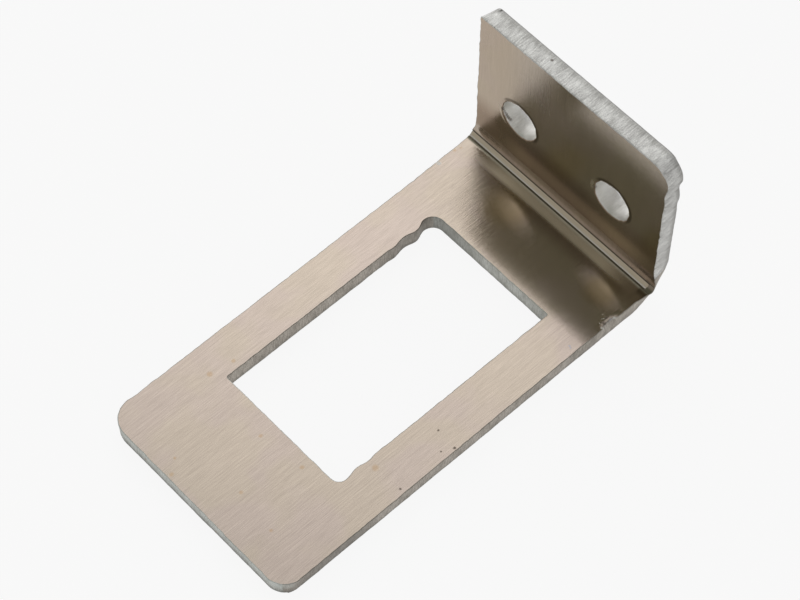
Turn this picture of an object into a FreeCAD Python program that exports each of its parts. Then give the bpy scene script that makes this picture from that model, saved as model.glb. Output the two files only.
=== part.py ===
import FreeCAD, Part
import enum
import math
import os
import Sketcher

# A folded bracket: a flat plate with a rectangular window, and a flange with two screw holes.
# It is cut and bent from one sheet, so the model is one solid.
#
# Frame: X runs across the width, Y along the plate towards the flange, Z up.
# The underside lies on Z = 0, and the origin is under the middle of the outer length and width.
# "Near" is the free end of the plate, and "far" the end with the flange.

Vector = FreeCAD.Vector

# All sizes in millimetres.
SIZES = {
    # the folded sheet, outside sizes
    "width": 36.0,
    "length": 72.5,
    "height": 30.7,
    "thickness": 3.0,
    "bend_radius": 2.2,
    "free_corner_left": 3.7,
    "free_corner_right": 3.0,
    "flange_corner": 3.5,
    # the window in the plate
    "window_width": 22.6,
    "window_length": 39.35,
    "window_end_gap": 16.1,
    "window_side_gap": 6.45,
    "window_near_corner": 1.5,
    "window_far_corner": 1.9,
    # the two screw holes in the flange
    "hole_diameter": 6.8,
    "hole_spacing": 18.2,
    "hole_side_gap": 8.7,
    "hole_height": 14.4,
    # the wave that the cutter left where it came out of a rounded corner
    "wave_pitch": 2.1,
    "wave_decay": 0.7,
    "window_near_wave": 0.24,
    "window_far_wave": 0.36,
    "flange_wave": 0.3,
    "free_corner_wave": 0.09,
    # the flat line that the punch pressed into the inside of the bend
    "coin_width": 0.7,
    "coin_depth": 0.13,
    "coin_stop": 0.5,
    # the sides of the bend: the squeezed inside swells out and the stretched outside draws in
    "swell_left": 0.2,
    "draw_left": 0.3,
    "swell_right": 0.7,
    "draw_right": 0.6,
    "swell_reach": 1.8,
    # the blank is folded oversize by this much, and then trimmed
    "trim": 1.5,
}

document = FreeCAD.newDocument("bracket")


def make_sheet():
    """The driving sizes, one alias to a row."""
    sheet = document.addObject("Spreadsheet::Sheet", "Sizes")
    for row, (alias, value) in enumerate(SIZES.items(), start=1):
        sheet.set(f"A{row}", alias)
        sheet.set(f"B{row}", str(value))
        sheet.setAlias(f"B{row}", alias)
    document.recompute()
    return sheet


sheet = make_sheet()


def size(expression):
    """The number that an expression on the sheet stands for, as it is now."""
    return float(sheet.evalExpression(expression))


# Places that several features share, as expressions on the sheet.
LEFT = "-Sizes.width / 2"
RIGHT = "Sizes.width / 2"
FREE_END = "-Sizes.length / 2"
BACK = "Sizes.length / 2"
OUTER_RADIUS = "(Sizes.bend_radius + Sizes.thickness)"
BEND_Y = f"({BACK} - {OUTER_RADIUS})"
BEND_Z = OUTER_RADIUS
PLATE_TRIM_END = f"({BEND_Y} - Sizes.swell_reach)"
FLANGE_TRIM_START = f"({BEND_Z} + Sizes.swell_reach)"
OUTSIDE = "2 * Sizes.trim"


class At(enum.IntEnum):
    """The places on a piece of a sketch, by Sketcher's numbers."""

    START = 1
    END = 2
    CENTRE = 3


ORIGIN = (-1, At.START)


class Outline:
    """A closed outline in a sketch on one of a body's own planes.

    It is drawn from point to point, and two expressions on the sheet hold each point.
    """

    def __init__(self, body, name, role, x, y):
        self.sketch = body.newObject("Sketcher::SketchObject", name)
        plane = next(f for f in body.Origin.OriginFeatures if f.Role == role)
        self.sketch.AttachmentSupport = [(plane, "")]
        self.sketch.MapMode = "FlatFace"
        self.first = (x, y)
        self.here = (x, y)
        self.opening = None
        self.previous = None

    def bind(self, constraint, expression):
        index = self.sketch.addConstraint(constraint)
        self.sketch.setExpression(f"Constraints[{index}]", expression)

    def pin(self, geometry, position, x, y):
        for kind, expression in (("DistanceX", x), ("DistanceY", y)):
            place = (*ORIGIN, geometry, position, size(expression))
            self.bind(Sketcher.Constraint(kind, *place), expression)

    def meet(self, one, other):
        self.sketch.addConstraint(Sketcher.Constraint("Coincident", *one, *other))

    def join(self, geometry, x, y, entry=At.START, leave=At.END):
        """Ties a new piece to the one before it, and holds its far end."""
        if self.previous is None:
            self.pin(geometry, entry, *self.first)
            self.opening = (geometry, entry)
        else:
            self.meet(self.previous, (geometry, entry))
        if (x, y) == self.first:
            self.meet((geometry, leave), self.opening)
        else:
            self.pin(geometry, leave, x, y)
        self.previous = (geometry, leave)
        self.here = (x, y)

    def point(self, x, y):
        return Vector(size(x), size(y), 0)

    def line(self, x, y):
        segment = Part.LineSegment(self.point(*self.here), self.point(x, y))
        self.join(self.sketch.addGeometry(segment), x, y)

    def arc(self, x, y, radius, clockwise=False):
        """A quarter turn or less.

        A sketch keeps each arc anticlockwise, so a clockwise one is entered at its end.
        """
        ends = [self.point(*self.here), self.point(x, y)]
        if clockwise:
            ends.reverse()
        chord = ends[1] - ends[0]
        rise = size(radius) - math.sqrt(size(radius) ** 2 - chord.Length ** 2 / 4)
        crown = (ends[0] + ends[1]) / 2 + Vector(chord.y, -chord.x, 0).normalize() * rise
        geometry = self.sketch.addGeometry(Part.Arc(ends[0], crown, ends[1]))
        if clockwise:
            self.join(geometry, x, y, At.END, At.START)
        else:
            self.join(geometry, x, y)
        self.bind(Sketcher.Constraint("Radius", geometry, size(radius)), radius)

    def spline(self, poles):
        """A cubic spline from here to the last pole. Each pole is a pair of expressions."""
        points = [self.point(*pole) for pole in [self.here, *poles]]
        spans = len(points) - 3
        curve = Part.BSplineCurve()
        ends_held = [4] + [1] * (spans - 1) + [4]
        curve.buildFromPolesMultsKnots(points, ends_held, list(range(spans + 1)), False, 3)
        geometry = self.sketch.addGeometry(curve)
        self.sketch.exposeInternalGeometry(geometry)
        first_pole = geometry + 1
        for step, pole in enumerate(poles[:-1], start=1):
            self.pin(first_pole + step, At.CENTRE, *pole)
        self.join(geometry, *poles[-1])


def wave(edge, outward, corner, run, depth):
    """Poles of the wave that the cutter left, from the end of a corner's arc along a straight edge.

    The edge lies at one X, with its outer side towards the sign outward. The arc ends at corner,
    and the edge leads away from it towards the sign run. The wave leaves the arc at its full depth
    outside the edge and dies out. A cubic spline that swings from side to side goes a third of the
    way out to its poles, so they stand three times as far out.
    """
    swings = {
        "1 / 3": "1",
        "1": "-3 * Sizes.wave_decay",
        "2": "3 * Sizes.wave_decay ^ 2",
        "3": "-3 * Sizes.wave_decay ^ 3",
        "11 / 3": "0",
        "4": "0",
    }
    return [
        (f"{edge} + {outward} * {depth} * ({swing})", f"{corner} + {run} * {steps} * Sizes.wave_pitch")
        for steps, swing in swings.items()
    ]


def towards_corner(poles, x, y):
    """The same wave, drawn the other way, so that it ends at the arc, at x and y."""
    return [*reversed(poles[:-1]), (x, y)]


def add_feature(body, kind, name, outline):
    feature = body.newObject(kind, name)
    feature.Profile = outline.sketch
    return feature


def cut_through(body, name, outline):
    """A pocket through everything, on both sides of its sketch."""
    pocket = add_feature(body, "PartDesign::Pocket", name, outline)
    pocket.Type = "ThroughAll"
    pocket.SideType = "Symmetric"
    document.recompute()


def fold_sheet(body):
    """The section through plate, bend and flange, oversize at its two free ends and at both sides."""
    inside = f"({BACK} - Sizes.thickness)"
    far = f"({FREE_END} - Sizes.trim)"
    top = "(Sizes.height + Sizes.trim)"
    section = Outline(body, "section", "YZ_Plane", far, "0")
    section.line(BEND_Y, "0")
    section.arc(BACK, BEND_Z, OUTER_RADIUS)
    section.line(BACK, top)
    section.line(inside, top)
    section.line(inside, BEND_Z)
    section.arc(BEND_Y, "Sizes.thickness", "Sizes.bend_radius", clockwise=True)
    section.line(far, "Sizes.thickness")
    section.line(far, "0")
    sheet_metal = add_feature(body, "PartDesign::Pad", "folded_sheet", section)
    sheet_metal.SideType = "Symmetric"
    sheet_metal.setExpression("Length", "Sizes.width + 2 * Sizes.trim")
    document.recompute()


def trim_plate(body):
    """The plate's long sides and its free end, with the two rounded corners."""
    left_arc_end = f"{FREE_END} + Sizes.free_corner_left"
    left_bulge = f"{LEFT} - Sizes.free_corner_wave"
    ripple = wave(LEFT, -1, left_arc_end, 1, "Sizes.free_corner_wave")
    edge = Outline(body, "plate_edge", "XY_Plane", LEFT, PLATE_TRIM_END)
    edge.line(*ripple[-1])
    edge.spline(towards_corner(ripple, left_bulge, left_arc_end))
    edge.arc(f"{left_bulge} + Sizes.free_corner_left", FREE_END, "Sizes.free_corner_left")
    edge.line(f"{RIGHT} - Sizes.free_corner_right", FREE_END)
    edge.arc(RIGHT, f"{FREE_END} + Sizes.free_corner_right", "Sizes.free_corner_right")
    edge.line(RIGHT, PLATE_TRIM_END)
    edge.line(f"{RIGHT} + {OUTSIDE}", PLATE_TRIM_END)
    edge.line(f"{RIGHT} + {OUTSIDE}", f"{FREE_END} - {OUTSIDE}")
    edge.line(f"{LEFT} - {OUTSIDE}", f"{FREE_END} - {OUTSIDE}")
    edge.line(f"{LEFT} - {OUTSIDE}", PLATE_TRIM_END)
    edge.line(LEFT, PLATE_TRIM_END)
    cut_through(body, "plate_trim", edge)


def trim_flange(body):
    """The flange's sides and top: one corner square, one rounded, with the cutter's wave below it."""
    arc_end = "Sizes.height - Sizes.flange_corner"
    bulge = f"{RIGHT} + Sizes.flange_wave"
    ripple = wave(RIGHT, 1, arc_end, -1, "Sizes.flange_wave")
    edge = Outline(body, "flange_edge", "XZ_Plane", RIGHT, FLANGE_TRIM_START)
    edge.line(*ripple[-1])
    edge.spline(towards_corner(ripple, bulge, arc_end))
    edge.arc(f"{bulge} - Sizes.flange_corner", "Sizes.height", "Sizes.flange_corner")
    edge.line(LEFT, "Sizes.height")
    edge.line(LEFT, FLANGE_TRIM_START)
    edge.line(f"{LEFT} - {OUTSIDE}", FLANGE_TRIM_START)
    edge.line(f"{LEFT} - {OUTSIDE}", f"Sizes.height + {OUTSIDE}")
    edge.line(f"{RIGHT} + {OUTSIDE}", f"Sizes.height + {OUTSIDE}")
    edge.line(f"{RIGHT} + {OUTSIDE}", FLANGE_TRIM_START)
    edge.line(RIGHT, FLANGE_TRIM_START)
    cut_through(body, "flange_trim", edge)


def cut_window(body):
    """Two corners are square. The other two are rounded and lead into a wave on the long side."""
    left = f"({LEFT} + Sizes.window_side_gap)"
    right = f"({left} + Sizes.window_width)"
    near = f"({FREE_END} + Sizes.window_end_gap)"
    far = f"({near} + Sizes.window_length)"
    near_arc_end = f"{near} + Sizes.window_near_corner"
    near_bulge = f"{right} + Sizes.window_near_wave"
    far_arc_end = f"{far} - Sizes.window_far_corner"
    far_bulge = f"{left} - Sizes.window_far_wave"
    rim = Outline(body, "window_rim", "XY_Plane", left, near)
    rim.line(f"{near_bulge} - Sizes.window_near_corner", near)
    rim.arc(near_bulge, near_arc_end, "Sizes.window_near_corner")
    rim.spline(wave(right, 1, near_arc_end, 1, "Sizes.window_near_wave"))
    rim.line(right, far)
    rim.line(f"{far_bulge} + Sizes.window_far_corner", far)
    rim.arc(far_bulge, far_arc_end, "Sizes.window_far_corner")
    rim.spline(wave(left, -1, far_arc_end, -1, "Sizes.window_far_wave"))
    rim.line(left, near)
    cut_through(body, "window", rim)


def drill_flange(body):
    """Two round screw holes, side by side."""
    first = f"{LEFT} + Sizes.hole_side_gap"
    holes = Outline(body, "hole_centres", "XZ_Plane", first, "Sizes.hole_height")
    for across in (first, f"{first} + Sizes.hole_spacing"):
        centre = holes.point(across, "Sizes.hole_height")
        circle = Part.Circle(centre, Vector(0, 0, 1), size("Sizes.hole_diameter / 2"))
        geometry = holes.sketch.addGeometry(circle)
        holes.pin(geometry, At.CENTRE, across, "Sizes.hole_height")
        diameter = Sketcher.Constraint("Diameter", geometry, size("Sizes.hole_diameter"))
        holes.bind(diameter, "Sizes.hole_diameter")
    cut_through(body, "screw_holes", holes)


def coin_bend(body):
    """The flat line along the inside of the bend, halfway round, that stops short of the right side."""
    corners = []
    for depth, side in ((-0.5, -1), (-0.5, 1), (1, 1), (1, -1)):
        out = f"(Sizes.bend_radius + {depth} * Sizes.coin_depth)"
        half = f"{side} * Sizes.coin_width / 2"
        y = f"{BEND_Y} + ({out} + {half}) * sqrt(0.5)"
        z = f"{BEND_Z} - ({out} - {half}) * sqrt(0.5)"
        corners.append((y, z))
    line = Outline(body, "coin_section", "YZ_Plane", *corners[0])
    for corner in [*corners[1:], corners[0]]:
        line.line(*corner)
    groove = add_feature(body, "PartDesign::Pocket", "coined_line", line)
    groove.SideType = "Two sides"
    groove.setExpression("Length", f"{RIGHT} + {OUTSIDE}")
    groove.setExpression("Length2", f"{RIGHT} - Sizes.coin_stop")
    document.recompute()


def bend_waste(side):
    """What is trimmed off one side of the bend: everything outside a ruled, twisted side face.

    The rulings cross the sheet's thickness. Along the sheet, the face's swell and draw fade out
    to nothing where the straight parts are already trimmed.
    """
    hand = {"left": -1, "right": 1}[side]
    swell = size(f"Sizes.swell_{side}")
    draw = size(f"Sizes.draw_{side}")
    thickness = size("Sizes.thickness")
    inner = size("Sizes.bend_radius")
    centre = Vector(0, size(BEND_Y), size(BEND_Z))
    half_arc = math.pi / 4 * (inner + thickness / 2)
    half_run = half_arc + size("Sizes.swell_reach")
    overhang = inner / 3
    stations = 12

    def place(run, out):
        """The side face's point so far along the sheet and so far out from the bend's axis."""
        angle = math.pi / 4 * max(-1, min(1, run / half_arc))
        straight = run - angle / (math.pi / 4) * half_arc
        outward = Vector(0, math.sin(angle + math.pi / 4), -math.cos(angle + math.pi / 4))
        along = Vector(0, -outward.z, outward.y)
        fade = (1 - (run / half_run) ** 2) ** 2
        proud = fade * (swell - (swell + draw) * (out - inner) / thickness)
        point = centre + outward * out + along * straight
        point.x = hand * (size(RIGHT) + proud)
        return point

    def rail(out):
        runs = [half_run * (2 * n / stations - 1) for n in range(stations + 1)]
        curve = Part.BSplineCurve()
        curve.interpolate(Points=[place(run, out) for run in runs], Parameters=runs,
                          InitialTangent=Vector(0, 1, 0), FinalTangent=Vector(0, 0, 1))
        return curve.toShape()

    face = Part.makeRuledSurface(rail(inner - overhang), rail(inner + thickness + overhang))
    waste = document.addObject("Part::Feature", f"{side}_bend_waste")
    waste.Shape = face.extrude(Vector(hand * size(OUTSIDE), 0, 0))
    return waste


def trim_bend(body):
    """Cuts the waste off both sides of the bend."""
    tools = []
    for side in ("left", "right"):
        tool = document.addObject("PartDesign::Body", f"{side}_bend_tool")
        tool.BaseFeature = bend_waste(side)
        tools.append(tool)
    trim = body.newObject("PartDesign::Boolean", "bend_trim")
    trim.Type = "Cut"
    trim.setObjects(tools)
    document.recompute()


def build():
    body = document.addObject("PartDesign::Body", "bracket")
    body.Label = "bracket"
    fold_sheet(body)
    for step in (trim_plate, trim_flange, cut_window, drill_flange, coin_bend, trim_bend):
        before = body.Shape.Volume
        step(body)
        if not body.Shape.Volume < before:
            raise ValueError(f"{step.__name__} cut nothing")
    return body


def check(bracket):
    for item in document.Objects:
        if "Invalid" in item.State or "Error" in item.State:
            raise ValueError(f"{item.Name} failed")
    shape = bracket.Shape
    if shape.isNull() or not shape.isValid() or len(shape.Solids) != 1:
        raise ValueError("the bracket isn't one valid solid")


bracket = build()
check(bracket)
os.makedirs("parts", exist_ok=True)
bracket.Shape.exportStep(f"parts/{bracket.Label}.step")
box = bracket.Shape.optimalBoundingBox()
print(f"bracket: {box.XLength:.2f} x {box.YLength:.2f} x {box.ZLength:.2f} mm, "
      f"volume {bracket.Shape.Volume:.1f} mm3")
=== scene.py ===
import functools
import math

import bmesh
import bpy
from mathutils import Matrix, Vector, noise


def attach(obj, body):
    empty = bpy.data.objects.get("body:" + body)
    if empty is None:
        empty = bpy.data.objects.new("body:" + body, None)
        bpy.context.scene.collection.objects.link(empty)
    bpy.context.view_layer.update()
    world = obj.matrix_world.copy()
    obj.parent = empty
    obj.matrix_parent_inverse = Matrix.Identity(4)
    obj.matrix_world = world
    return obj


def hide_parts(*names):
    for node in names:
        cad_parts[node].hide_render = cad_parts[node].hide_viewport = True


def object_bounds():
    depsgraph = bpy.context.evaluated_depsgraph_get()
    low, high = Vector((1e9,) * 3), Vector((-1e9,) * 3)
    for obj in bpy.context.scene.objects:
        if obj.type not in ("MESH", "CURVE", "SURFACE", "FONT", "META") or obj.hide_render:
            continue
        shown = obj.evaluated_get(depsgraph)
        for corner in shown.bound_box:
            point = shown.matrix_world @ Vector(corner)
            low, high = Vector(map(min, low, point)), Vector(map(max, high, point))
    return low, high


# A folded bracket, stamped and bent from one sheet: brushed faces, grey cut edges, a coined bend.
#
# The piece is made as its maker would: a flat blank is cut, its edges are broken, and it is folded.
# On the blank, x runs across, y along the sheet from the free end, and z through its thickness,
# from the outside face at 0. Sizes are in millimetres, and the folded sheet ends up in metres.

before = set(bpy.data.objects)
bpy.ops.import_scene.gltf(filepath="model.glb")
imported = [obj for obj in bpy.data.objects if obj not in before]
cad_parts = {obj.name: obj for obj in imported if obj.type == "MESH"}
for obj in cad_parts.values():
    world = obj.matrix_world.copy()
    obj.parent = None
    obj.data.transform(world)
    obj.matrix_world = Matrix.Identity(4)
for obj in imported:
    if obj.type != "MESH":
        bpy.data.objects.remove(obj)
cad_low, cad_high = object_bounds()

MM = 0.001

# The folded sheet. Its length and height come from the solid.
THICKNESS = 3.0
BEND_RADIUS = 2.2
HALF_WIDTH = 18.0
BACK = cad_high.y / MM
FREE_END = cad_low.y / MM
HEIGHT = cad_high.z / MM

OUTER_RADIUS = BEND_RADIUS + THICKNESS
BEND_START = BACK - OUTER_RADIUS
HALF_ARC = math.pi / 4 * (BEND_RADIUS + THICKNESS / 2)
BEND_MIDDLE = BEND_START + HALF_ARC
BEND_END = BEND_MIDDLE + HALF_ARC
SHEET_END = BEND_END + HEIGHT - OUTER_RADIUS

FREE_CORNER_LEFT, FREE_CORNER_RIGHT = 3.7, 3.0
FLANGE_CORNER_LEFT, FLANGE_CORNER_RIGHT = 0.45, 3.5

# The window: its near right and far left corners are rounded.
WINDOW_LEFT, WINDOW_RIGHT = -11.55, 11.05
WINDOW_NEAR, WINDOW_FAR = FREE_END + 16.1, FREE_END + 55.45
WINDOW_NEAR_CORNER, WINDOW_FAR_CORNER, WINDOW_SQUARE_CORNER = 1.5, 1.9, 0.2

HOLE_RADIUS = 3.3
HOLE_Y = BEND_END + 14.4 - OUTER_RADIUS
HOLES_X = (-9.5, 8.8)

# The wave that the cutter left where it came out of a rounded corner. It turns over after each
# pitch, gets weaker by the decay, and is gone after so many turns.
WAVE_PITCH = 2.1
WAVE_DECAY = 0.7
WAVE_TURNS = 3.5
# How far out it starts, at each corner.
FREE_CORNER_WAVE, FLANGE_WAVE = 0.09, 0.24
WINDOW_NEAR_WAVE, WINDOW_FAR_WAVE = 0.24, 0.36

# The points of an edge lie this close together.
POINT_GAP = 0.35

# How far the edges are broken, on the inside face and on the outside face.
INSIDE_BREAK, OUTSIDE_BREAK = 0.12, 0.35
HOLE_INSIDE_BREAK, HOLE_OUTSIDE_BREAK = 0.12, 0.1

# How uneven the cut walls are: in the holes, elsewhere in long and in short waves, and more at
# their inside rims.
HOLE_UNEVEN = 0.14
LONG_UNEVEN, SHORT_UNEVEN = 0.035, 0.03
PLATE_RIM_UNEVEN, FLANGE_RIM_UNEVEN = 0.06, 0.14

# How far the walls stand off square. The free end's wall leans, and more at its right.
END_LEAN, END_LEAN_MORE = 0.135, 0.065
# The right wall stands out at the inside face, and at the outside face by these two, from the
# free end to the bend.
RIGHT_INSIDE, RIGHT_NEAR, RIGHT_FAR = 0.2, -0.1, 0.15
# The window widens towards its far end, and the left side of the sheet towards the bend.
WINDOW_WIDER, LEFT_WIDER = 0.2, 0.2
# The flange's left wall leans in, the holes' walls lean right and up, and the holes sit higher.
FLANGE_LEAN = 0.6
HOLE_LEAN_RIGHT, HOLE_LEAN_UP, HOLE_HIGHER = 0.24, 0.45, 0.15
# The rim at the top of the outside face is rolled.
ROLLED = 0.12

# The sides of the bend: the squeezed inside swells out and the stretched outside draws in.
SWELL_LEFT, DRAW_LEFT = 0.2, 0.3
SWELL_RIGHT, DRAW_RIGHT = 0.7, 0.6
SWELL_REACH = 1.8
SWELL_FROM, SWELL_FULL = 12, 17

# The inside of the bend is tighter than its outside, and the punch left a flat line in it.
# A groove runs along both sides of the line: its slope, and a narrow lip beyond it.
CREASE_RADIUS = 1.7
CREASE_SHIFT = BEND_RADIUS - CREASE_RADIUS
COIN_MIDDLE = BEND_MIDDLE - 0.63
COIN_HALF = 1.12
COIN_SLOPE = 0.36
COIN_DEPTH = 0.13
COIN_STOP = 17.0
COIN_LIP = 0.22
COIN_EDGES = [COIN_MIDDLE + side * half for side in (-1, 1)
              for half in (COIN_HALF + COIN_LIP, COIN_HALF, COIN_HALF - COIN_SLOPE)]

# Towards the bend the sheet is drawn a little thinner, on its inside face.
THIN_START = 19.4
THINNING = 0.15

# A band of the inside face is rubbed dull by the punch.
RUB_START = BEND_START - 1.1

# Something struck the right edge once, and left a nick between these lines.
NICK_NEAR, NICK_FAR = 23.2, 26.2
NICK_HEIGHT = 0.8
NICK_END = 0.7
NICK_INWARDS, NICK_DOWN = 0.6, 0.25

# Small marks: x, y, z and size.
RUST = [(-13.5, -21.6, 3, 0.6), (-5.2, -35.5, 3, 0.45), (5.9, -21.9, 3, 0.45),
        (3.2, -30.4, 3, 0.4), (-1.5, -22.8, 3, 0.4), (-6.8, -33.6, 3, 0.35),
        (10.2, -31.2, 3, 0.35), (-12.9, -17.8, 3, 0.45), (12.7, -14.7, 3, 0.7),
        (-17.8, 28.9, 3, 0.4), (-17.5, 29.9, 3, 0.3), (-10.0, -36.2, 1.6, 0.35),
        (4.5, -36.2, 1.0, 0.3)]
DIRT_AND_SHADE = [(14.3, -4.5, 3, 0.24), (17.75, -4.75, 3, 0.3), (16.9, -6.5, 3, 0.2),
        (17.3, -14.4, 3, 0.24), (11.1, 33.1, 8.5, 0.2), (-7.8, 33.1, 5.5, 0.2),
        (-5.6, 33.1, 9.7, 0.18), (17.9, 24.85, 2.9, 0.28), (17.6, 24.1, 3, 0.55),
        (17.2, 25.0, 3, 0.3), (-6.05, 35.2, 30.7, 0.3), (5.4, 33.4, 14.4, 0.4)]
# A line of eight dark spots runs down the wall of the left hole: painted shade along the wall's edge.
DIRT_AND_SHADE += [(-12.9 + 1.1 * step / 7, 33.3 + 0.5 * step / 7, 14.2 - 2.1 * step / 7, 0.34)
         for step in range(8)]
CHIPS = [(16.45, 24.95, 3, 0.15), (16.55, 25.2, 3, 0.15), (16.9, 24.35, 3, 0.15),
         (17.05, 24.6, 3, 0.14), (17.2, 23.6, 3, 0.14), (18.0, 25.75, 2.9, 0.4),
         (18.2, 23.5, 2.9, 0.4), (17.9, 23.3, 2.95, 0.3), (-17.7, 25.6, 3, 0.45)]
BLUISH = [(17.75, 25.25, 3, 0.5), (17.0, 17.95, 3, 0.25), (17.25, 17.8, 3, 0.25)]

# Faint brown stains on the plate before the bend: x, y, size and colour.
STAINS = [(-5.5, 27.8, 5, (0.59, 0.475, 0.33, 1)), (13.5, 27.5, 3.9, (0.46, 0.37, 0.25, 1))]

# How far each kind of mark covers the sheet, its colour, and how much rougher it is.
MARKS = [(RUST, 0.45, (0.56, 0.37, 0.20, 1), 0.05), (BLUISH, 0.7, (0.62, 0.60, 0.66, 1), 0.12),
         (DIRT_AND_SHADE, 0.8, (0.14, 0.11, 0.09, 1), 0.3), (CHIPS, 0.9, (1, 0.98, 0.93, 1), 0.45)]


def outline(blank, corners, radii):
    """A closed loop of edges with rounded corners, each given by its place and its radius."""
    verts = [blank.verts.new((*corner, 0)) for corner in corners]
    blank.faces.new(verts)
    for vert, radius in zip(verts, radii):
        bmesh.ops.bevel(blank, geom=[vert], offset=radius, segments=max(3, round(4 * radius)),
                        profile=0.5, affect="VERTICES", material=-1)
    bmesh.ops.delete(blank, geom=blank.faces[:], context="FACES_ONLY")


def divide(blank):
    """Long edges get points as close together as POINT_GAP."""
    for edge in [e for e in blank.edges if e.calc_length() > 1.5 * POINT_GAP]:
        cuts = int(edge.calc_length() / POINT_GAP)
        bmesh.ops.subdivide_edges(blank, edges=[edge], cuts=cuts)


def ripple(run, depth):
    """How far out the cutter's wave stands, so far past the corner that it came out of."""
    steps = max(0.0, run / WAVE_PITCH)
    if steps >= WAVE_TURNS:
        return 0.0
    return depth * math.cos(math.pi * steps) * WAVE_DECAY ** steps


def cut_blank():
    """The flat outline with its window and holes, and the cutter's wave at the rounded corners."""
    blank = bmesh.new()
    outline(blank, [(-HALF_WIDTH, FREE_END), (HALF_WIDTH, FREE_END),
                    (HALF_WIDTH, SHEET_END), (-HALF_WIDTH, SHEET_END)],
            [FREE_CORNER_LEFT, FREE_CORNER_RIGHT, FLANGE_CORNER_RIGHT, FLANGE_CORNER_LEFT])
    outline(blank, [(WINDOW_LEFT, WINDOW_NEAR), (WINDOW_RIGHT, WINDOW_NEAR),
                    (WINDOW_RIGHT, WINDOW_FAR), (WINDOW_LEFT, WINDOW_FAR)],
            [WINDOW_SQUARE_CORNER, WINDOW_NEAR_CORNER, WINDOW_SQUARE_CORNER, WINDOW_FAR_CORNER])
    divide(blank)
    for x in HOLES_X:
        bmesh.ops.create_circle(blank, cap_ends=False, radius=HOLE_RADIUS, segments=72,
                                matrix=Matrix.Translation((x, HOLE_Y, 0)))
    for vert in blank.verts:
        x, y, _ = vert.co
        in_window = WINDOW_LEFT - 0.1 < x < WINDOW_RIGHT + 0.1 and y < WINDOW_FAR + 0.1
        if in_window and WINDOW_NEAR - 0.1 < y:
            if x > WINDOW_RIGHT - WINDOW_NEAR_CORNER:
                vert.co.x += ripple(y - WINDOW_NEAR - WINDOW_NEAR_CORNER, WINDOW_NEAR_WAVE)
            elif x < WINDOW_LEFT + WINDOW_FAR_CORNER:
                vert.co.x -= ripple(WINDOW_FAR - WINDOW_FAR_CORNER - y, WINDOW_FAR_WAVE)
        elif x > HALF_WIDTH - FLANGE_CORNER_RIGHT and y > BEND_END:
            vert.co.x += ripple(SHEET_END - FLANGE_CORNER_RIGHT - y, FLANGE_WAVE)
        elif x < FREE_CORNER_LEFT - HALF_WIDTH and y < 0:
            vert.co.x -= ripple(y - FREE_END - FREE_CORNER_LEFT, FREE_CORNER_WAVE)
    bmesh.ops.triangle_fill(blank, use_beauty=True, use_dissolve=False, edges=blank.edges)
    return blank


def is_skin(face):
    """Whether a face of the flat blank is part of its inside or outside face, and not a wall."""
    return abs(face.normal.z) > 0.999


def at_hole(place):
    """Whether a place is at the wall or the rim of a screw hole."""
    return any(math.hypot(place.x - x, place.y - HOLE_Y) < HOLE_RADIUS + 0.6 for x in HOLES_X)


def rim(blank, height, of_hole):
    """The edges where the walls meet the face of the sheet at that height."""
    return [e for e in blank.edges
            if all(abs(v.co.z - height) < 1e-4 for v in e.verts)
            and sum(is_skin(f) for f in e.link_faces) == 1
            and at_hole(e.verts[0].co) == of_hole]


def thicken(blank):
    """The blank gets its thickness, and its edges are broken."""
    raised = bmesh.ops.extrude_face_region(blank, geom=blank.faces[:])["geom"]
    bmesh.ops.translate(blank, vec=(0, 0, THICKNESS),
                        verts=[g for g in raised if isinstance(g, bmesh.types.BMVert)])
    bmesh.ops.recalc_face_normals(blank, faces=blank.faces)
    upright = [e for e in blank.edges if abs(e.verts[0].co.z - e.verts[1].co.z) > 1]
    bmesh.ops.subdivide_edges(blank, edges=upright, cuts=4, use_grid_fill=True)
    blank.normal_update()
    for height, of_hole, offset in ((THICKNESS, False, INSIDE_BREAK), (0, False, OUTSIDE_BREAK),
                                    (THICKNESS, True, HOLE_INSIDE_BREAK),
                                    (0, True, HOLE_OUTSIDE_BREAK)):
        bmesh.ops.bevel(blank, geom=rim(blank, height, of_hole), offset=offset, segments=3,
                        profile=0.5, affect="EDGES", material=-1)
        blank.normal_update()


def score(blank, where, along, faces=None):
    """Straight cuts right across the blank, or only across the faces given."""
    for place in where:
        geom = (blank.verts[:] + blank.edges[:] + blank.faces[:]) if faces is None else faces()
        bmesh.ops.bisect_plane(blank, geom=geom, dist=1e-4, plane_co=along * place, plane_no=along)


def inside_faces(blank, low, high):
    """The inside face of the blank between two lines across it, with its edges and points."""
    faces = [f for f in blank.faces if f.calc_center_median().z > THICKNESS - 0.01 and is_skin(f)
             and low < f.calc_center_median().y < high]
    return [*{v for f in faces for v in f.verts}, *{e for f in faces for e in f.edges}, *faces]


def score_bend(blank):
    """Lines across the blank, so that it can follow the bend, the thinning, the nick and the coin."""
    strips = 24
    lines = [BEND_START + 2 * HALF_ARC * n / strips for n in range(strips + 1)]
    lines += [THIN_START + n for n in range(int(BEND_START - THIN_START))]
    clear = [line for line in lines if min(abs(line - edge) for edge in COIN_EDGES) > 0.03]
    score(blank, clear + COIN_EDGES, Vector((0, 1, 0)))
    blank.normal_update()
    loose = [e for e in blank.edges
             if abs(e.verts[0].co.y - e.verts[1].co.y) > 1e-3
             and all(WINDOW_FAR + 0.2 < v.co.y < BEND_END + 1e-3 for v in e.verts)
             and len(e.link_faces) == 2 and all(is_skin(f) for f in e.link_faces)]
    bmesh.ops.dissolve_edges(blank, edges=loose, use_verts=False)
    score(blank, (COIN_STOP, COIN_STOP - 0.15), Vector((1, 0, 0)),
          lambda: inside_faces(blank, COIN_MIDDLE - COIN_HALF, COIN_MIDDLE + COIN_HALF))
    score(blank, (16.6, 17.2), Vector((1, 0, 0)),
          lambda: inside_faces(blank, NICK_NEAR - 1, NICK_FAR + 1))
    blank.normal_update()


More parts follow.
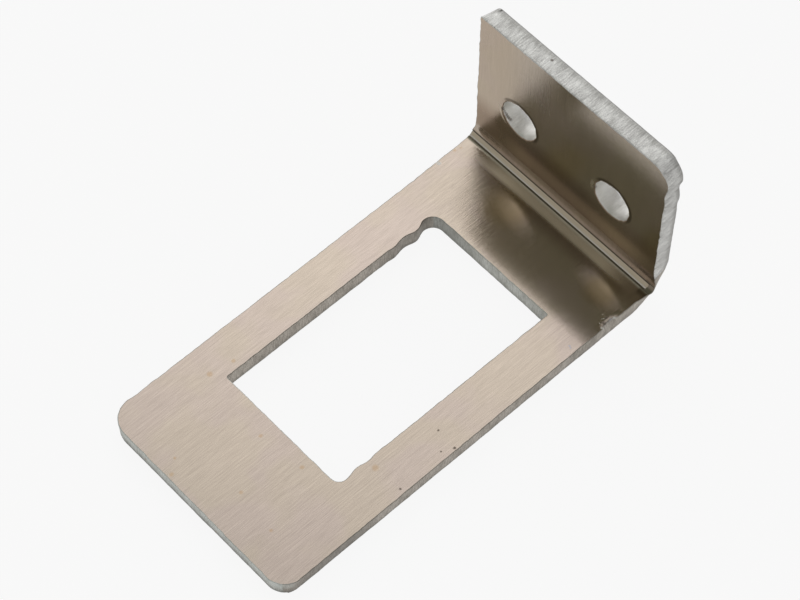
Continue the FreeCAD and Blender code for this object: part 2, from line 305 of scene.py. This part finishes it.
def coin(blank):
    """The punch's line is pressed flat into the bend."""
    for vert in blank.verts:
        aside = abs(vert.co.y - COIN_MIDDLE)
        inside = vert.co.z > THICKNESS - 0.3 and vert.co.x < COIN_STOP - 0.1
        if inside and aside < COIN_HALF - COIN_SLOPE / 2:
            turn = aside / HALF_ARC * math.pi / 4
            vert.co.z -= COIN_DEPTH + CREASE_RADIUS * (1 / math.cos(turn) - 1)


def roughen(blank):
    """The cut walls and their rims are never quite straight."""
    blank.normal_update()
    moves = []
    for vert in blank.verts:
        walls = [f for f in vert.link_faces if not is_skin(f)]
        if not walls or BEND_START - 1 < vert.co.y < BEND_END + 1 and abs(vert.co.x) < 17:
            continue
        out = sum((f.normal for f in walls), Vector())
        out.z = 0
        if out.length < 1e-6:
            continue
        wide = noise.noise(vert.co * 0.35 + Vector((7, 3, 1)))
        fine = noise.noise(vert.co * 1.7 + Vector((2, 9, 5)))
        amount = LONG_UNEVEN * wide + SHORT_UNEVEN * fine
        if at_hole(vert.co):
            amount = HOLE_UNEVEN * fine
        if vert.co.z > THICKNESS - 0.5:
            ragged = FLANGE_RIM_UNEVEN if vert.co.y > BEND_END + 5 else PLATE_RIM_UNEVEN
            amount += ragged * noise.noise(vert.co * 1.2 + Vector((6, 1, 4)))
        moves.append((vert, out.normalized() * amount))
    for vert, move in moves:
        vert.co += move


def ease(value, low, high):
    """0 below low, 1 above high, and smooth between."""
    part = max(0.0, min(1.0, (value - low) / (high - low)))
    return part * part * (3 - 2 * part)


def lean_walls(spot, x, y, above):
    """The cut walls stand off square. Above is 0 at the outside face and 1 at the inside face."""
    below = 1 - above
    if y < FREE_END + 1.5:
        spot.y += below * (END_LEAN + END_LEAN_MORE * x / HALF_WIDTH)
    if x > HALF_WIDTH - 1 and y < BEND_END:
        along = (y - FREE_END) / (BEND_START - FREE_END)
        outside = RIGHT_NEAR + (RIGHT_FAR - RIGHT_NEAR) * along
        lean = RIGHT_INSIDE * above + outside * below
        spot.x += lean * ease(y, FREE_END, FREE_END + 3) * (1 - ease(y, BEND_START, BEND_END))
    if abs(x - WINDOW_RIGHT) < 1.2 and WINDOW_NEAR - 1 < y < WINDOW_FAR + 1:
        spot.x += WINDOW_WIDER * (y - WINDOW_NEAR) / (WINDOW_FAR - WINDOW_NEAR)
    if x < 1 - HALF_WIDTH:
        spot.x -= LEFT_WIDER * ease(y, 20, 28) * (1 - ease(y, BEND_MIDDLE, BEND_END + 2))
        if y > BEND_END:
            spot.x += FLANGE_LEAN * below * min(1.0, (y - BEND_END) / 4)


def dent(spot, x, y, z):
    """The nick pushed the right edge in and down."""
    if x <= HALF_WIDTH - 1 or z <= THICKNESS - NICK_HEIGHT:
        return
    nick = ease(y, NICK_NEAR, NICK_NEAR + NICK_END) * (1 - ease(y, NICK_FAR - NICK_END, NICK_FAR))
    nick *= (z - THICKNESS + NICK_HEIGHT) * ease(x, 17, 17.8)
    spot.x -= NICK_INWARDS * nick
    spot.z -= NICK_DOWN * nick


def thin_sheet(spot, y, z, above):
    """The sheet is rolled at its top edge, and drawn thinner towards the bend."""
    if y > SHEET_END - 0.6:
        spot.z -= ROLLED * max(0.0, 1 - z)
    if THIN_START < y < BEND_END:
        thinner = THINNING * min(1.0, (y - THIN_START) / (BEND_START - THIN_START))
        spot.z -= above * thinner * (1 - ease(y, BEND_START, BEND_END))


def settle(blank):
    """The walls and the faces move to where the cutting, the bending and a knock left them."""
    for vert in blank.verts:
        x, y, z = vert.co
        above = z / THICKNESS
        lean_walls(vert.co, x, y, above)
        dent(vert.co, x, y, z)
        if at_hole(vert.co):
            vert.co.x += HOLE_LEAN_RIGHT * (1 - above)
            vert.co.y += HOLE_HIGHER + HOLE_LEAN_UP * (1 - above)
        thin_sheet(vert.co, y, z, above)


def fold(place):
    """Where a point of the blank goes when the sheet is bent."""
    run = place.y - BEND_MIDDLE
    turned = max(-HALF_ARC, min(HALF_ARC, run))
    angle = math.pi / 4 * (1 + turned / HALF_ARC)
    outward = Vector((0, math.sin(angle), -math.cos(angle)))
    along = Vector((0, math.cos(angle), math.sin(angle)))
    out = OUTER_RADIUS - place.z
    folded = Vector((place.x, BEND_START, OUTER_RADIUS)) + outward * out + along * (run - turned)
    if abs(run) < HALF_ARC:
        inside = place.z / THICKNESS
        folded += inside * CREASE_SHIFT * (Vector((0, 1, -1)) - outward)
    reach = HALF_ARC + SWELL_REACH
    if abs(run) < reach:
        fade = (1 - (run / reach) ** 2) ** 2
        swell, draw = (SWELL_RIGHT, DRAW_RIGHT) if place.x > 0 else (SWELL_LEFT, DRAW_LEFT)
        proud = fade * (swell - (swell + draw) * (out - BEND_RADIUS) / THICKNESS)
        side = max(0.0, min(1.0, (abs(place.x) - SWELL_FROM) / (SWELL_FULL - SWELL_FROM)))
        folded.x += proud * side if place.x > 0 else -proud * side
    return folded * MM


def finish_faces(blank):
    """Each face's finish, where the shading breaks, and the sheet's own map, in millimetres.

    The map of a wall gives how far along the edge a place is, and how high through the sheet.
    """
    BRUSHED, COINED, GROOVE, SIDE, END, TOP, HOLE = range(7)
    sheet_map = blank.loops.layers.uv.new("sheet")
    for face in blank.faces:
        centre = face.calc_center_median()
        across = abs(face.normal.x) > abs(face.normal.y)
        aside = abs(centre.y - COIN_MIDDLE)
        face.smooth = True
        if is_skin(face):
            if centre.z < 1 or centre.x > COIN_STOP or aside > COIN_HALF + COIN_LIP:
                face.material_index = BRUSHED
            elif aside > COIN_HALF - COIN_SLOPE:
                face.material_index = GROOVE
            else:
                face.material_index = COINED
        elif at_hole(centre):
            face.material_index = HOLE
        elif centre.y > SHEET_END - 3 and centre.x < HALF_WIDTH - 1:
            face.material_index = TOP
        elif centre.y > BEND_END and centre.x > 0:
            face.material_index = TOP
        else:
            face.material_index = SIDE if across else END
        for loop in face.loops:
            x, y, z = loop.vert.co
            loop[sheet_map].uv = (x, y) if is_skin(face) else (y if across else x, z)
    for edge in blank.edges:
        edge.smooth = len({is_skin(f) for f in edge.link_faces}) == 1
        if all(min(abs(v.co.y - line) for line in COIN_EDGES) < 1e-3 and v.co.z > 1
               for v in edge.verts):
            edge.smooth = False


def make_bracket():
    """The blank is cut, thickened, roughened and bent, and each of its faces gets its finish."""
    blank = cut_blank()
    thicken(blank)
    score_bend(blank)
    finish_faces(blank)
    roughen(blank)
    settle(blank)
    coin(blank)
    for vert in blank.verts:
        vert.co = fold(vert.co)
    mesh = bpy.data.meshes.new("sheet")
    blank.to_mesh(mesh)
    blank.free()
    piece = bpy.data.objects.new("sheet", mesh)
    bpy.context.scene.collection.objects.link(piece)
    for finish in (brushed_face(),
                   coined_line("coined_line", (0.67, 0.57, 0.44, 1), (0.86, 0.74, 0.58, 1),
                               (0.93, 0.86, 0.80, 1)),
                   # The groove's dark colours are painted shade in the groove.
                   coined_line("groove", (0.11, 0.09, 0.07, 1), (0.21, 0.18, 0.14, 1),
                               (0.23, 0.20, 0.15, 1)),
                   # The cut walls are one finish in lit and shaded copies: cut_side darker and
                   # browner, cut_end greyer, cut_top and hole_wall near white, painted light and
                   # shade by how each wall faces. The holes' brown rim colour is painted shade.
                   cut_edge("cut_side", (0.38, 0.345, 0.30, 1), (0.78, 0.725, 0.655, 1), 0.35, 0.5),
                   cut_edge("cut_end", (0.46, 0.46, 0.42, 1), (0.84, 0.845, 0.805, 1), 0.35, 0),
                   cut_edge("cut_top", (0.50, 0.49, 0.47, 1), (1, 0.995, 0.97, 1), 0.35, 0),
                   cut_edge("hole_wall", (0.83, 0.82, 0.785, 1), (1, 0.99, 0.96, 1), 0, 0.8,
                            (0.30, 0.17, 0.08, 1))):
        mesh.materials.append(finish)
    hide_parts("bracket")
    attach(piece, "root")


class Signal:
    """A number that varies over a surface: an output socket, with Python's arithmetic."""

    def __init__(self, socket):
        self.socket = socket

    def math(self, operation, *values):
        tree = self.socket.id_data
        node = tree.nodes.new("ShaderNodeMath")
        node.operation = operation
        for slot, value in zip(node.inputs, values):
            if isinstance(value, Signal):
                tree.links.new(value.socket, slot)
            else:
                slot.default_value = value
        return Signal(node.outputs[0])

    def __add__(self, other):
        return self.math("ADD", self, other)

    def __sub__(self, other):
        return self.math("SUBTRACT", self, other)

    def __rsub__(self, other):
        return self.math("SUBTRACT", other, self)

    def __mul__(self, other):
        return self.math("MULTIPLY", self, other)

    def highest(self, other):
        return self.math("MAXIMUM", self, other)

    def clamped(self):
        return self.math("MINIMUM", self.math("MAXIMUM", self, 0), 1)

    def __abs__(self):
        return self.math("ABSOLUTE", self)

    __radd__ = __add__
    __rmul__ = __mul__


class Tree:
    """The nodes of one material or world. Its lengths are given in millimetres."""

    def __init__(self, owner):
        owner.use_nodes = True
        self.tree = owner.node_tree
        self.tree.nodes.clear()

    def node(self, kind, settings=None, output=0, **inputs):
        """A node of that type: its settings are set first, then its sockets, by name."""
        node = self.tree.nodes.new(f"ShaderNode{kind}")
        for name, value in (settings or {}).items():
            setattr(node, name, value)
        for name, value in inputs.items():
            slot = node.inputs[int(name[1:]) if name[0] == "_" else name.replace("_", " ")]
            if isinstance(value, Signal):
                self.tree.links.new(value.socket, slot)
            else:
                slot.default_value = value
        return Signal(node.outputs[output])

    def place(self):
        """Where on the piece, in metres."""
        return self.node("TexCoord", output=3)

    def sheet(self):
        """Where on the flat sheet, in millimetres."""
        return self.node("UVMap", {"uv_map": "sheet"})

    def axis(self, place, number):
        """One coordinate of a place: 0 is x, 1 is y and 2 is z."""
        return self.node("SeparateXYZ", output=number, Vector=place)

    def right(self, low, high):
        """0 up to low and 1 from high, across the piece from left to right."""
        return self.ramp(self.axis(self.place(), 0), low * MM, high * MM)

    def above(self, low, high):
        """0 up to low and 1 from high, over the floor."""
        return self.ramp(self.axis(self.place(), 2), low * MM, high * MM)

    def past(self, low, high):
        """0 up to low and 1 from high, along the flat sheet from its free end."""
        return self.ramp(self.axis(self.sheet(), 1), low, high)

    def spot(self, x, y, z, size, place):
        """1 at that place, and 0 from its size on."""
        away = self.node("VectorMath", {"operation": "DISTANCE"}, output=1,
                         _0=place, _1=(x * MM, y * MM, z * MM))
        return 1 - self.ramp(away, size * 0.3 * MM, size * MM)

    def specks(self, places, place):
        """Spots at all those places, each x, y, z and size; the wobble moves them by about 0.15."""
        marks = [self.spot(x + 0.15, y + 0.15, z + 0.15, size, place) for x, y, z, size in places]
        return functools.reduce(Signal.highest, marks)

    def marked(self, colour, place):
        """That colour with rust, dirt, painted shade and bright chips on it, and how much rougher
        they make it.
        """
        wobble = self.noise(2500, detail=2, shift=(2, 2, 9))
        here = self.node("VectorMath", {"operation": "ADD"}, _0=place,
                         _1=self.node("VectorMath", {"operation": "SCALE"}, _0=wobble, _3=0.0003))
        dull = []
        for places, amount, tint, dullness in MARKS:
            marks = self.specks(places, here)
            colour = self.mix(marks * amount, colour, tint)
            dull.append(marks * dullness)
        return colour, functools.reduce(Signal.highest, dull)

    def noise(self, scale, detail=2.0, roughness=0.5, place=None, stretch=(1, 1, 1), shift=(0, 0, 0)):
        """A cloudy pattern, on the piece if no other place is given."""
        spot = self.node("Mapping", Vector=place or self.place(), Location=shift,
                         Scale=[scale * s for s in stretch])
        return self.node("TexNoise", Vector=spot, Scale=1.0, Detail=detail, Roughness=roughness)

    def ring(self, x, z, size, half, place):
        """1 on a circle about that place of the flange, and 0 beside it."""
        away = self.node("VectorMath", {"operation": "DISTANCE"}, output=1,
                         _0=place, _1=(x * MM, (BACK - THICKNESS) * MM, z * MM))
        return 1 - self.ramp(abs(away - size * MM), half * 0.4 * MM, half * MM)

    def mix(self, amount, one, other):
        """That much of the other colour over the one."""
        return self.node("Mix", {"data_type": "RGBA"}, output=2, _0=amount, _6=one, _7=other)

    def ramp(self, amount, low, high):
        """0 below low, 1 above high, and smooth between."""
        return self.node("MapRange", {"interpolation_type": "SMOOTHSTEP"}, Value=amount,
                         From_Min=low, From_Max=high)

    def bump(self, height, distance):
        return self.node("Bump", Height=height, Distance=distance)

    def surface(self, shader):
        """The shader is what the material or world shows."""
        owner = "World" if shader.socket.node.type == "BACKGROUND" else "Material"
        output = self.tree.nodes.new(f"ShaderNodeOutput{owner}")
        self.tree.links.new(shader.socket, output.inputs[0])


def scratched_sheet(tree, patch):
    """Short scratches along the sheet, on a ground that is rosier in patches."""
    streak = tree.noise(4500, detail=2, roughness=0.6, stretch=(1, 0.07, 0.07), shift=(3, 5, 2))
    broad = tree.noise(1200, detail=2, roughness=0.6, stretch=(1, 0.05, 0.05), shift=(1, 8, 4))
    tone = (0.5 + (streak - 0.5) * 1.3 + (broad - 0.5) * 0.5).clamped()
    plain = tree.mix(tone, (0.515, 0.438, 0.362, 1), (0.66, 0.563, 0.467, 1))
    rosy = tree.mix(tone, (0.515, 0.432, 0.375, 1), (0.66, 0.556, 0.485, 1))
    return tree.mix(tree.ramp(patch, 0.42, 0.60), plain, rosy)


def rimmed_holes(tree, colour, place):
    """The colour with a dark ring at each hole's upper right, a painted dark reflection on its rolled
    rim, and burrs at its left; the burrs.
    """
    upper = tree.axis(place, 0) * 0.7 + tree.axis(place, 2)
    for x in HOLES_X:
        # Painted shade: a dark ring at each hole's upper right stands in for the dark reflection on
        # its rolled rim.
        over = tree.ramp(upper, (14.0 + 0.7 * x) * MM, (15.5 + 0.7 * x) * MM)
        painted_shade_ring = tree.ring(x, 14.65, HOLE_RADIUS + 0.35, 0.34, place) * over
        colour = tree.mix(painted_shade_ring * 0.8, colour, (0.16, 0.12, 0.08, 1))
    burrs = tree.ring(HOLES_X[0], 14.5, HOLE_RADIUS + 0.6, 0.25, place)
    burrs = burrs * tree.spot(-12.6, 33.2, 13.1, 2.2, place)
    facet = tree.ring(HOLES_X[1], 14.5, HOLE_RADIUS + 0.55, 0.45, place)
    burrs = burrs + facet * tree.spot(4.9, 33.2, 14.8, 1.6, place) * 0.35
    return tree.mix(burrs, colour, (1, 0.9, 0.76, 1)), burrs


def worked_bend(tree, colour, place, raised):
    """The colour with what the punch left about the bend, painted light and shade about it, and the
    band that it rubbed dull.
    """
    rubbed = tree.past(RUB_START - 0.3, RUB_START + 0.4) * raised
    rubbed = rubbed * (1 - tree.past(BEND_END - 1, BEND_END + 1.2))
    rubbed = rubbed * (1 - tree.ramp(abs(tree.axis(place, 0) - 0.5 * MM), 9 * MM, 17 * MM))

    # The band is painted light up to the pressed line, a painted reflection, but only half as much
    # right beside it.
    line_start, line_end = COIN_MIDDLE - COIN_HALF, COIN_MIDDLE + COIN_HALF
    painted_light_band = rubbed * (1 - tree.past(COIN_MIDDLE, BEND_MIDDLE))
    painted_light_band = painted_light_band * (1 - tree.past(line_start - 1.5, line_start - 0.5) * 0.5)
    colour = tree.mix(painted_light_band * 0.95, colour, (0.99, 0.89, 0.71, 1))

    # Painted shade: it is darker just behind the line, in the crease. The foot of the flange is
    # painted browner and darker as shade in the inside corner, darkest in its middle.
    painted_crease_shade = tree.past(line_end - 0.1, line_end + 0.1) * raised
    painted_crease_shade = painted_crease_shade * (1 - tree.past(BEND_MIDDLE + 0.7, BEND_MIDDLE + 1.5))
    colour = tree.mix(painted_crease_shade * 0.4, colour, (0.30, 0.22, 0.14, 1))
    painted_foot_shade = tree.past(BEND_END - 0.3, BEND_END + 0.7) * raised
    painted_foot_shade = painted_foot_shade * (1 - tree.past(BEND_END + 4, BEND_END + 9))
    colour = tree.mix(painted_foot_shade * 0.75, colour, (0.36, 0.25, 0.17, 1))
    middle = 1 - tree.ramp(abs(tree.axis(place, 0) + 1 * MM), 4 * MM, 12 * MM)
    colour = tree.mix(painted_foot_shade * middle * 0.4, colour, (0.12, 0.06, 0.06, 1))

    # Right of the line's end the bend was not pressed, and is painted dark there as shade.
    painted_shade_unpressed = tree.right(COIN_STOP - 0.3, COIN_STOP + 0.1)
    painted_shade_unpressed = painted_shade_unpressed * tree.past(BEND_START - 0.8, BEND_START) * raised
    painted_shade_unpressed = painted_shade_unpressed * (1 - tree.past(BEND_MIDDLE + 0.5, BEND_MIDDLE + 2))
    return tree.mix(painted_shade_unpressed * 0.75, colour, (0.20, 0.16, 0.11, 1)), rubbed


def brushed_face():
    """Fine short scratches along the sheet, faint tints, a rubbed band by the bend, and specks;
    painted shade and painted light about the holes, the bend and the flange's upper right.
    """
    finish = bpy.data.materials.new("brushed_face")
    tree = Tree(finish)
    place = tree.place()
    grain = tree.noise(6000, detail=3, roughness=0.8, stretch=(1, 0.02, 0.02))
    patch = tree.noise(120, detail=2, shift=(5, 1, 7))
    # The plate's upper face and both faces of the flange, but not the plate's underside.
    raised = tree.above(2, 2.5)

    colour = scratched_sheet(tree, patch)
    flange_left = tree.above(3, 9) * (1 - tree.right(-14, -6))
    colour = tree.mix(flange_left * 0.45, colour, (0.61, 0.47, 0.32, 1))
    colour, burrs = rimmed_holes(tree, colour, place)
    colour, marks = tree.marked(colour, place)
    marks = marks.highest(burrs * 0.4)
    # Painted shade: the flange's upper right is darkened, standing in for a dimmer reflection of the
    # floor seen through the window.
    painted_dim_reflection = tree.above(20, 28) * tree.right(-2, 6)
    colour = tree.mix(painted_dim_reflection * 0.25, colour, (0.33, 0.29, 0.18, 1))
    for x, y, size, tint in STAINS:
        colour = tree.mix(tree.spot(x, y, THICKNESS, size, place), colour, tint)
    colour, rubbed = worked_bend(tree, colour, place, raised)

    # Beside the rubbed band, three places are rougher: the flange's upper left, its lower left,
    # and the plate's left before the bend.
    near_bend = tree.past(12, 24) * (1 - tree.past(BEND_START - 1, BEND_START + 1))
    high = tree.above(8, 24) * (1 - tree.right(-5, 3))
    left_low = tree.past(BEND_END - 0.5, BEND_END + 0.5) * raised
    left_low = left_low * (1 - tree.above(8, 12)) * (1 - tree.right(-16, -9))
    left_plate = near_bend * raised * (1 - tree.right(-12, -5))
    shine = 0.15 + (grain - 0.5) * 0.06 + (patch - 0.5) * 0.05 + marks
    shine = shine + rubbed * 0.3 + high * 0.12 + left_low * 0.2 + left_plate * 0.1
    tree.surface(tree.node("BsdfPrincipled", Base_Color=colour, Metallic=1.0, Roughness=shine,
                           Normal=tree.bump(grain * (1 + near_bend * 0.5), 0.00001)))
    return finish


def cut_edge(name, low, high, torn_share, rim_share, rim_colour=(0.22, 0.20, 0.17, 1)):
    """A sheared wall: fine lines through the sheet, smoother near its inside face."""
    finish = bpy.data.materials.new(name)
    tree = Tree(finish)
    wall = tree.sheet()
    height = tree.axis(wall, 1)
    lines = tree.noise(5, detail=3, roughness=0.7, place=wall, stretch=(1, 0.12, 1))
    sand = tree.noise(6, detail=2, roughness=0.6, place=wall, shift=(4, 4, 0))
    broad = tree.noise(0.6, detail=2, place=wall, stretch=(1, 0.3, 1), shift=(9, 0, 0))
    tone = 0.5 + (lines - 0.5) * 2 + (sand - 0.5) * 1.5 + (broad - 0.5) * 1.2
    colour = tree.mix(tone.clamped(), low, high)

    # Torn near the outside face, and at its rim a dark line of painted shade; another colour at the
    # inside rim, which on the holes' walls is a dark line of painted shade.
    torn_colour = (0.2, 0.19, 0.17, 1)
    torn = 1 - tree.ramp(height + (lines - 0.5) * 0.8, 0.4, 1.3)
    colour = tree.mix(torn * torn_share, colour, torn_colour)
    rim = tree.ramp(height, THICKNESS - 0.12, THICKNESS - 0.05)
    colour = tree.mix(rim * rim_share, colour, rim_colour)
    # Painted shade: a dark line along the broken rim at the outside face.
    broken = 1 - tree.ramp(height, 0.12, 0.3)
    colour = tree.mix(broken * torn_share, colour, torn_colour)

    # Painted shade: darker about the window's far left corner, and at the right side near the free
    # end, where shadow falls.
    place = tree.place()
    corner = tree.spot(WINDOW_LEFT, WINDOW_FAR, 1.5, 13, place) * 0.33
    corner = corner.highest(tree.spot(HALF_WIDTH, FREE_END + 9, 1.5, 10, place) * 0.4)
    colour = tree.mix(corner, colour, (0.16, 0.155, 0.14, 1))

    # A hole's wall is smoother, and painted darker at its top, as shade.
    roughness = 0.55
    if name == "hole_wall":
        roughness = 0.42
        colour = tree.mix(tree.above(15.8, 17.2) * 0.6, colour, (0.24, 0.19, 0.11, 1))

    # The free end's wall is painted lighter in its upper half, a painted highlight, and darker in its
    # lower half, painted shade.
    near_end = 1 - tree.ramp(tree.axis(place, 1), (FREE_END + 1.5) * MM, (FREE_END + 3) * MM)
    colour = tree.mix(near_end * tree.ramp(height, 1.3, 2.2) * 0.3, colour, (0.95, 1, 0.97, 1))
    colour = tree.mix(near_end * (1 - tree.ramp(height, 0.7, 1.5)) * 0.25, colour,
                      (0.16, 0.17, 0.16, 1))
    colour, _ = tree.marked(colour, place)
    tree.surface(tree.node("BsdfPrincipled", Base_Color=colour, Metallic=1.0, Roughness=roughness,
                           Normal=tree.bump(lines * 0.6 + sand * 0.4, 0.00006)))
    return finish


def coined_line(name, low, high, edge):
    """The pressed line: drawn out along the bend, and lighter at its plate side, a painted highlight.
    """
    finish = bpy.data.materials.new(name)
    tree = Tree(finish)
    sheet = tree.sheet()
    lines = tree.noise(2.4, detail=2, roughness=0.6, place=sheet, stretch=(0.08, 1, 1))
    colour = tree.mix((0.5 + (lines - 0.5) * 1.6).clamped(), low, high)
    # Painted highlight along the plate side of the pressed line.
    near_edge = abs(tree.axis(sheet, 1) - (COIN_MIDDLE - COIN_HALF + COIN_SLOPE))
    colour = tree.mix(1 - tree.ramp(near_edge, 0.1, 0.6), colour, edge)
    tree.surface(tree.node("BsdfPrincipled", Base_Color=colour, Metallic=1.0, Roughness=0.5))
    return finish


def make_floor():
    """White to the camera, and at 0.4 of that in reflections, with the piece's shadow on it."""
    size = 2.0
    shape = bmesh.new()
    bmesh.ops.create_grid(shape, x_segments=1, y_segments=1, size=size)
    mesh = bpy.data.meshes.new("floor")
    shape.to_mesh(mesh)
    shape.free()
    floor = bpy.data.objects.new("floor", mesh)
    bpy.context.scene.collection.objects.link(floor)
    paper = bpy.data.materials.new("white_paper")
    tree = Tree(paper)
    seen = tree.node("LightPath", output=0)
    mirrored = tree.node("LightPath", output=3)
    through = tree.node("LightPath", output=6)
    share = (seen * 0.9 + (mirrored + through) * 0.4).clamped()
    lit = tree.node("BsdfDiffuse", Color=(0.8, 0.8, 0.8, 1))
    white = tree.node("Emission", Color=(1, 1, 1, 1), Strength=1.0)
    tree.surface(tree.node("MixShader", _0=share, _1=lit, _2=white))
    mesh.materials.append(paper)


def light_studio():
    """A dim room with a soft box high at the left and a dark patch where the camera stands."""
    world = bpy.data.worlds.new("studio")
    bpy.context.scene.world = world
    tree = Tree(world)
    direction = tree.node("TexCoord", output=0)

    def towards(x, y, z, outer, inner):
        facing = tree.node("VectorMath", {"operation": "DOT_PRODUCT"}, output=1,
                           _0=direction, _1=Vector((x, y, z)).normalized())
        return tree.ramp(facing, math.cos(math.radians(outer)), math.cos(math.radians(inner)))

    softbox = towards(-1.05, 0.9, 1.0, 40, 8)
    shade = towards(-0.38, -0.35, 0.86, 38, 14)
    level = 0.45 + softbox * 0.85
    tint = tree.mix(shade, (1, 1, 1, 1), (0.435, 0.485, 0.41, 1))
    colour = tree.node("VectorMath", {"operation": "SCALE"}, _0=tint, _3=level)
    tree.surface(tree.node("Background", Color=colour, Strength=1.0))


def place_camera():
    """The camera looks at its aim from above and from the free end's right."""
    azimuth, elevation = math.radians(47.22), math.radians(58.748)
    aim = Vector((-5.817, 6.979, 0))
    distance = 371.936
    back = Vector((math.sin(azimuth) * math.cos(elevation),
                   -math.cos(azimuth) * math.cos(elevation), math.sin(elevation)))
    camera = bpy.data.objects.new("camera", bpy.data.cameras.new("camera"))
    camera.data.sensor_width = 36
    camera.data.lens = 118.3365
    camera.data.clip_start, camera.data.clip_end = 0.01, 10
    camera.location = aim * MM + back * distance * MM
    camera.rotation_mode = "QUATERNION"
    camera.rotation_quaternion = (-back).to_track_quat("-Z", "Y")
    bpy.context.scene.collection.objects.link(camera)
    bpy.context.scene.camera = camera


make_bracket()
make_floor()
light_studio()
place_camera()
bpy.context.scene.view_settings.view_transform = "Standard"
